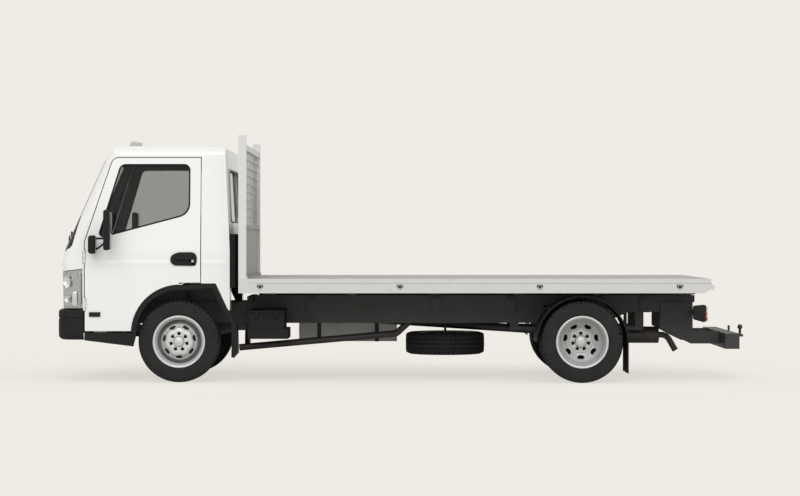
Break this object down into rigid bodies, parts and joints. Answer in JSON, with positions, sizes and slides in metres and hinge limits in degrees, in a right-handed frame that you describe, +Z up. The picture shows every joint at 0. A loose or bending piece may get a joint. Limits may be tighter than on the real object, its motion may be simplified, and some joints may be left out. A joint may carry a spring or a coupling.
{
  "type": "flatbed truck",
  "caption": "Light cab-over flatbed truck with a tilting two-door cab, steered front wheels, twin rear wheels, an open aluminium tray with headboard and a rear tow bar.",
  "frame": {"origin": "ground under the middle of the overall length, on the centre plane", "axes": "+X towards the rear of the truck, +Y towards its right side, +Z up"},
  "size_m": [6.598, 2.47, 2.31],
  "materials": {
    "frame_black": "satin",
    "engine_grey": "matte",
    "exhaust_steel": "matte",
    "tank_grey": "satin",
    "box_black": "matte",
    "tyre": "matte",
    "rim_silver": "satin",
    "trim_black": "matte",
    "deck_aluminium": "satin",
    "rail_aluminium": "satin",
    "headboard_paint": "satin",
    "ring_steel": "satin",
    "lamp_red": "gloss",
    "cab_white": "gloss",
    "lamp_clear": "gloss",
    "glass": "gloss",
    "lamp_amber": "gloss",
    "seat_cloth": "matte",
    "dash_grey": "matte",
    "wheel_black": "matte"
  },
  "bodies": {
    "chassis": {"chassis_frame": "frame_black", "engine": "engine_grey", "front_axle": "frame_black", "rear_axle": "frame_black", "leaf_springs": "frame_black", "exhaust": "exhaust_steel", "fuel_tank": "tank_grey", "battery_box": "box_black", "spare_tyre": "tyre", "spare_rim": "rim_silver", "rear_mudguards": "box_black", "front_bumper": "trim_black", "subframe": "frame_black", "tray_deck": "deck_aluminium", "tray_rails": "rail_aluminium", "headboard": "headboard_paint", "lashing_rings": "ring_steel", "tow_bar": "frame_black", "tail_lamps": "lamp_red"},
    "cab": {"cab_shell": "cab_white", "front_panel": "cab_white", "grille": "trim_black", "headlamps": "lamp_clear", "cab_glass": "glass", "cab_trim": "trim_black", "roof_lamps": "lamp_amber", "seats": "seat_cloth", "dashboard": "dash_grey"},
    "door_left": {"door_left": "cab_white", "door_glass_left": "glass", "door_fittings_left": "trim_black"},
    "door_right": {"door_right": "cab_white", "door_glass_right": "glass", "door_fittings_right": "trim_black"},
    "steering_wheel": {"steering_wheel": "wheel_black"},
    "knuckle_left": {"knuckle_left": "frame_black"},
    "knuckle_right": {"knuckle_right": "frame_black"},
    "tie_rod": {"tie_rod": "frame_black"},
    "front_wheel_left": {"front_tyre_left": "tyre", "front_rim_left": "rim_silver"},
    "front_wheel_right": {"front_tyre_right": "tyre", "front_rim_right": "rim_silver"},
    "rear_wheel_left": {"rear_tyres_left": "tyre", "rear_rims_left": "rim_silver"},
    "rear_wheel_right": {"rear_tyres_right": "tyre", "rear_rims_right": "rim_silver"}
  },
  "joints": [
    {"name": "cab_tilt", "type": "hinge", "parent": "chassis", "child": "cab", "pos_m": [-3.235, 0, 0.635], "axis": [0, -1, 0], "range_deg": [0, 45]},
    {"name": "door_left_swing", "type": "hinge", "parent": "cab", "child": "door_left", "pos_m": [-2.997, -0.976, 1], "axis": [0, 0, -1], "range_deg": [0, 70]},
    {"name": "door_right_swing", "type": "hinge", "parent": "cab", "child": "door_right", "pos_m": [-2.997, 0.976, 1], "axis": [0, 0, 1], "range_deg": [0, 70]},
    {"name": "steering_turn", "type": "hinge", "parent": "cab", "child": "steering_wheel", "pos_m": [-2.701, 0.43, 1.335], "axis": [0.5736, 0, 0.8192], "range_deg": [-720, 720]},
    {"name": "steer_left", "type": "hinge", "parent": "chassis", "child": "knuckle_left", "pos_m": [-2.117, -0.69, 0.383], "axis": [0, 0, 1], "range_deg": [-36, 36]},
    {"name": "steer_right", "type": "hinge", "parent": "chassis", "child": "knuckle_right", "pos_m": [-2.117, 0.69, 0.383], "axis": [0, 0, 1], "range_deg": [-36, 36]},
    {"name": "tie_rod_pivot", "type": "hinge", "parent": "knuckle_left", "child": "tie_rod", "pos_m": [-1.957, -0.69, 0.287], "axis": [0, 0, 1], "range_deg": [-36, 36]},
    {"name": "front_wheel_left_spin", "type": "hinge", "parent": "knuckle_left", "child": "front_wheel_left", "pos_m": [-2.117, -0.83, 0.383], "axis": [0, 1, 0], "continuous": true},
    {"name": "front_wheel_right_spin", "type": "hinge", "parent": "knuckle_right", "child": "front_wheel_right", "pos_m": [-2.117, 0.83, 0.383], "axis": [0, 1, 0], "continuous": true},
    {"name": "rear_wheel_left_spin", "type": "hinge", "parent": "chassis", "child": "rear_wheel_left", "pos_m": [1.653, -0.825, 0.383], "axis": [0, 1, 0], "continuous": true},
    {"name": "rear_wheel_right_spin", "type": "hinge", "parent": "chassis", "child": "rear_wheel_right", "pos_m": [1.653, 0.825, 0.383], "axis": [0, 1, 0], "continuous": true}
  ],
  "couplings": [
    {"joint": "steer_right", "follows": "steer_left", "ratio": 1},
    {"joint": "tie_rod_pivot", "follows": "steer_left", "ratio": -1},
    {"joint": "steering_turn", "follows": "steer_left", "ratio": 20}
  ]
}
